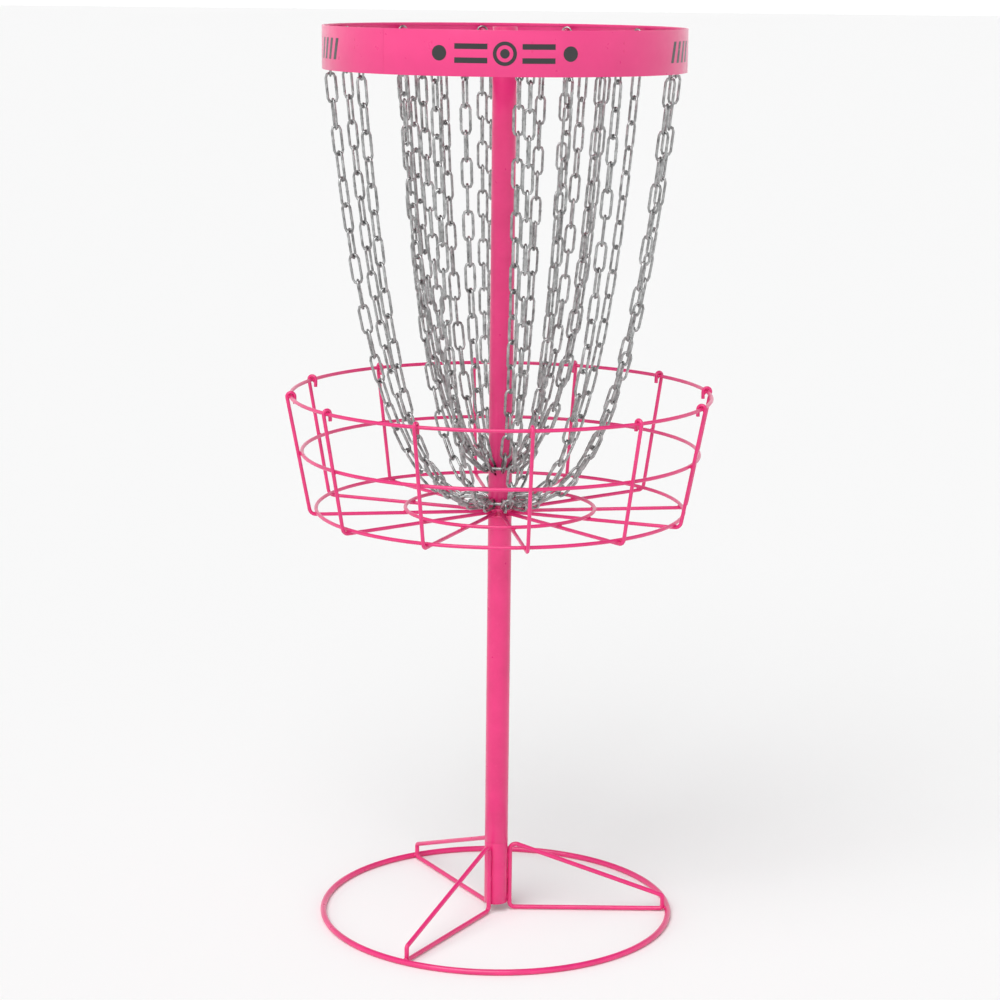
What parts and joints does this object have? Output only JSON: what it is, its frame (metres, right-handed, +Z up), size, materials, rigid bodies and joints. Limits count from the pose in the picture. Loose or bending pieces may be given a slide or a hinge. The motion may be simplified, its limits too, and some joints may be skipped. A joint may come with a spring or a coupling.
{
  "type": "disc golf basket",
  "caption": "Free-standing disc golf target: a wire basket on a pole under a sheet-metal band, with two tiers of hanging chains that stop a thrown disc.",
  "frame": {"origin": "on the ground, at the centre of the base ring, under the pole", "axes": "+Z up along the pole; the side with the band graphic faces -Y"},
  "size_m": [0.6436, 0.6436, 1.365],
  "materials": {
    "frame_paint": "gloss powder coat",
    "band_paint": "gloss powder coat",
    "zinc_plated_steel": "bright zinc plate",
    "bright_steel": "nickel plate",
    "spring_steel": "oiled spring steel"
  },
  "bodies": {
    "base": {"base_ring": "frame_paint", "gusset_wire_1": "frame_paint", "gusset_wire_2": "frame_paint", "gusset_wire_3": "frame_paint", "base_tube": "frame_paint"},
    "pole": {"lower_pole": "frame_paint", "upper_pole": "frame_paint", "hub_stop_ring": "frame_paint", "chain_stop_ring": "frame_paint", "button_spring": "spring_steel"},
    "snap_button": {"snap_button": "bright_steel"},
    "basket": {"hub_ring": "frame_paint", "rim_ring": "frame_paint", "mid_ring": "frame_paint", "floor_ring": "frame_paint", "inner_floor_ring": "frame_paint", "rib_01": "frame_paint", "rib_02": "frame_paint", "rib_03": "frame_paint", "rib_04": "frame_paint", "rib_05": "frame_paint", "rib_06": "frame_paint", "rib_07": "frame_paint", "rib_08": "frame_paint", "rib_09": "frame_paint", "rib_10": "frame_paint", "rib_11": "frame_paint", "rib_12": "frame_paint"},
    "chain_holder": {"band": "band_paint", "top_sleeve": "frame_paint", "top_spokes": "frame_paint", "outer_hooks": "zinc_plated_steel", "inner_hooks": "zinc_plated_steel", "outer_chain_ring": "zinc_plated_steel", "inner_chain_ring": "zinc_plated_steel"},
    "outer_chain_01": {"outer_chain_01": "zinc_plated_steel"},
    "outer_chain_02": {"outer_chain_02": "zinc_plated_steel"},
    "outer_chain_03": {"outer_chain_03": "zinc_plated_steel"},
    "outer_chain_04": {"outer_chain_04": "zinc_plated_steel"},
    "outer_chain_05": {"outer_chain_05": "zinc_plated_steel"},
    "outer_chain_06": {"outer_chain_06": "zinc_plated_steel"},
    "outer_chain_07": {"outer_chain_07": "zinc_plated_steel"},
    "outer_chain_08": {"outer_chain_08": "zinc_plated_steel"},
    "outer_chain_09": {"outer_chain_09": "zinc_plated_steel"},
    "outer_chain_10": {"outer_chain_10": "zinc_plated_steel"},
    "outer_chain_11": {"outer_chain_11": "zinc_plated_steel"},
    "outer_chain_12": {"outer_chain_12": "zinc_plated_steel"},
    "inner_chain_01": {"inner_chain_01": "zinc_plated_steel"},
    "inner_chain_02": {"inner_chain_02": "zinc_plated_steel"},
    "inner_chain_03": {"inner_chain_03": "zinc_plated_steel"},
    "inner_chain_04": {"inner_chain_04": "zinc_plated_steel"},
    "inner_chain_05": {"inner_chain_05": "zinc_plated_steel"},
    "inner_chain_06": {"inner_chain_06": "zinc_plated_steel"},
    "inner_chain_07": {"inner_chain_07": "zinc_plated_steel"},
    "inner_chain_08": {"inner_chain_08": "zinc_plated_steel"},
    "inner_chain_09": {"inner_chain_09": "zinc_plated_steel"},
    "inner_chain_10": {"inner_chain_10": "zinc_plated_steel"},
    "inner_chain_11": {"inner_chain_11": "zinc_plated_steel"},
    "inner_chain_12": {"inner_chain_12": "zinc_plated_steel"}
  },
  "joints": [
    {"name": "pole_lift", "type": "slide", "parent": "base", "child": "pole", "axis": [0, 0, 1], "range_m": [0, 0.09]},
    {"name": "button_press", "type": "slide", "parent": "pole", "child": "snap_button", "axis": [0, -1, 0], "range_m": [0, 0.005], "stiffness_N_per_m": 900, "springref_m": -0.002, "deforming": ["button_spring"]},
    {"name": "basket_turn", "type": "hinge", "parent": "pole", "child": "basket", "pos_m": [0, 0, 0.64], "axis": [0, 0, 1], "continuous": true},
    {"name": "chain_holder_lift", "type": "slide", "parent": "pole", "child": "chain_holder", "axis": [0, 0, 1], "range_m": [0, 0.05]},
    {"name": "outer_chain_01_swing", "type": "hinge", "parent": "chain_holder", "child": "outer_chain_01", "pos_m": [0.02575, 0.00362, 0.656], "axis": [0.3371, 0.0474, 0.9403], "range_deg": [-10, 10]},
    {"name": "outer_chain_02_swing", "type": "hinge", "parent": "chain_holder", "child": "outer_chain_02", "pos_m": [0.02049, 0.01601, 0.656], "axis": [0.2682, 0.2096, 0.9403], "range_deg": [-10, 10]},
    {"name": "outer_chain_03_swing", "type": "hinge", "parent": "chain_holder", "child": "outer_chain_03", "pos_m": [0.00974, 0.02411, 0.656], "axis": [0.1275, 0.3156, 0.9403], "range_deg": [-10, 10]},
    {"name": "outer_chain_04_swing", "type": "hinge", "parent": "chain_holder", "child": "outer_chain_04", "pos_m": [-0.00362, 0.02575, 0.656], "axis": [-0.0474, 0.3371, 0.9403], "range_deg": [-10, 10]},
    {"name": "outer_chain_05_swing", "type": "hinge", "parent": "chain_holder", "child": "outer_chain_05", "pos_m": [-0.01601, 0.02049, 0.656], "axis": [-0.2096, 0.2682, 0.9403], "range_deg": [-10, 10]},
    {"name": "outer_chain_06_swing", "type": "hinge", "parent": "chain_holder", "child": "outer_chain_06", "pos_m": [-0.02411, 0.00974, 0.656], "axis": [-0.3156, 0.1275, 0.9403], "range_deg": [-10, 10]},
    {"name": "outer_chain_07_swing", "type": "hinge", "parent": "chain_holder", "child": "outer_chain_07", "pos_m": [-0.02575, -0.00362, 0.656], "axis": [-0.3371, -0.0474, 0.9403], "range_deg": [-10, 10]},
    {"name": "outer_chain_08_swing", "type": "hinge", "parent": "chain_holder", "child": "outer_chain_08", "pos_m": [-0.02049, -0.01601, 0.656], "axis": [-0.2682, -0.2096, 0.9403], "range_deg": [-10, 10]},
    {"name": "outer_chain_09_swing", "type": "hinge", "parent": "chain_holder", "child": "outer_chain_09", "pos_m": [-0.00974, -0.02411, 0.656], "axis": [-0.1275, -0.3156, 0.9403], "range_deg": [-10, 10]},
    {"name": "outer_chain_10_swing", "type": "hinge", "parent": "chain_holder", "child": "outer_chain_10", "pos_m": [0.00362, -0.02575, 0.656], "axis": [0.0474, -0.3371, 0.9403], "range_deg": [-10, 10]},
    {"name": "outer_chain_11_swing", "type": "hinge", "parent": "chain_holder", "child": "outer_chain_11", "pos_m": [0.01601, -0.02049, 0.656], "axis": [0.2096, -0.2682, 0.9403], "range_deg": [-10, 10]},
    {"name": "outer_chain_12_swing", "type": "hinge", "parent": "chain_holder", "child": "outer_chain_12", "pos_m": [0.02411, -0.00974, 0.656], "axis": [0.3156, -0.1275, 0.9403], "range_deg": [-10, 10]},
    {"name": "inner_chain_01_swing", "type": "hinge", "parent": "chain_holder", "child": "inner_chain_01", "pos_m": [0.02575, 0.00362, 0.71], "axis": [0.2067, 0.029, 0.978], "range_deg": [-10, 10]},
    {"name": "inner_chain_02_swing", "type": "hinge", "parent": "chain_holder", "child": "inner_chain_02", "pos_m": [0.02049, 0.01601, 0.71], "axis": [0.1645, 0.1285, 0.978], "range_deg": [-10, 10]},
    {"name": "inner_chain_03_swing", "type": "hinge", "parent": "chain_holder", "child": "inner_chain_03", "pos_m": [0.00974, 0.02411, 0.71], "axis": [0.0782, 0.1935, 0.978], "range_deg": [-10, 10]},
    {"name": "inner_chain_04_swing", "type": "hinge", "parent": "chain_holder", "child": "inner_chain_04", "pos_m": [-0.00362, 0.02575, 0.71], "axis": [-0.029, 0.2067, 0.978], "range_deg": [-10, 10]},
    {"name": "inner_chain_05_swing", "type": "hinge", "parent": "chain_holder", "child": "inner_chain_05", "pos_m": [-0.01601, 0.02049, 0.71], "axis": [-0.1285, 0.1645, 0.978], "range_deg": [-10, 10]},
    {"name": "inner_chain_06_swing", "type": "hinge", "parent": "chain_holder", "child": "inner_chain_06", "pos_m": [-0.02411, 0.00974, 0.71], "axis": [-0.1935, 0.0782, 0.978], "range_deg": [-10, 10]},
    {"name": "inner_chain_07_swing", "type": "hinge", "parent": "chain_holder", "child": "inner_chain_07", "pos_m": [-0.02575, -0.00362, 0.71], "axis": [-0.2067, -0.029, 0.978], "range_deg": [-10, 10]},
    {"name": "inner_chain_08_swing", "type": "hinge", "parent": "chain_holder", "child": "inner_chain_08", "pos_m": [-0.02049, -0.01601, 0.71], "axis": [-0.1645, -0.1285, 0.978], "range_deg": [-10, 10]},
    {"name": "inner_chain_09_swing", "type": "hinge", "parent": "chain_holder", "child": "inner_chain_09", "pos_m": [-0.00974, -0.02411, 0.71], "axis": [-0.0782, -0.1935, 0.978], "range_deg": [-10, 10]},
    {"name": "inner_chain_10_swing", "type": "hinge", "parent": "chain_holder", "child": "inner_chain_10", "pos_m": [0.00362, -0.02575, 0.71], "axis": [0.029, -0.2067, 0.978], "range_deg": [-10, 10]},
    {"name": "inner_chain_11_swing", "type": "hinge", "parent": "chain_holder", "child": "inner_chain_11", "pos_m": [0.01601, -0.02049, 0.71], "axis": [0.1285, -0.1645, 0.978], "range_deg": [-10, 10]},
    {"name": "inner_chain_12_swing", "type": "hinge", "parent": "chain_holder", "child": "inner_chain_12", "pos_m": [0.02411, -0.00974, 0.71], "axis": [0.1935, -0.0782, 0.978], "range_deg": [-10, 10]}
  ]
}
